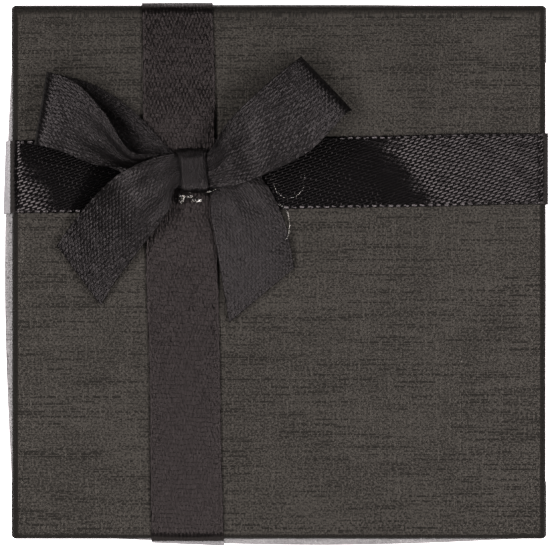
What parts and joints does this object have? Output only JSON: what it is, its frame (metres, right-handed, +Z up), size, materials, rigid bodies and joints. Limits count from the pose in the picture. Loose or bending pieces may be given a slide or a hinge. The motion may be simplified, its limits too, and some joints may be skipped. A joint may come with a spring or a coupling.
{
  "type": "jewelry gift box",
  "caption": "Square lift-off-lid gift box of paper-covered board with an insert pad for jewelry, dressed with crossed satin ribbons and a bow.",
  "frame": {"origin": "middle of the underside of the closed box", "axes": "+Z up out of the lid, +X to the right and -Y towards the front, where the bow sits at the back left"},
  "size_m": [0.092, 0.0917, 0.0382],
  "materials": {
    "covering_paper": "linen-embossed charcoal paper",
    "greyboard": "raw greyboard",
    "stay_tape": "brown gummed paper tape",
    "lining_paper": "plain matte black paper",
    "foam": "black open-cell foam",
    "velvet": "black velvet pile",
    "satin": "black satin ribbon",
    "thread": "black sewing thread",
    "hot_glue": "clear hot-melt glue"
  },
  "bodies": {
    "tray": {"base_wrap": "covering_paper", "base_board": "greyboard", "base_corner_stays": "stay_tape", "base_lining": "lining_paper"},
    "pad": {"pad_foam": "foam", "pad_velvet": "velvet"},
    "lid": {"lid_wrap": "covering_paper", "lid_board": "greyboard", "lid_corner_stays": "stay_tape", "lid_lining": "lining_paper", "ribbon_lengthwise": "satin", "ribbon_crosswise": "satin", "ribbon_end_glue": "hot_glue", "bow_ribbon": "satin", "bow_binding_thread": "thread", "bow_knot": "satin", "bow_glue": "hot_glue"}
  },
  "joints": [
    {"name": "lid_lift", "type": "slide", "parent": "tray", "child": "lid", "axis": [0, 0, 1], "range_m": [0, 0.06]},
    {"name": "pad_lift", "type": "slide", "parent": "tray", "child": "pad", "axis": [0, 0, 1], "range_m": [0, 0.01]}
  ]
}
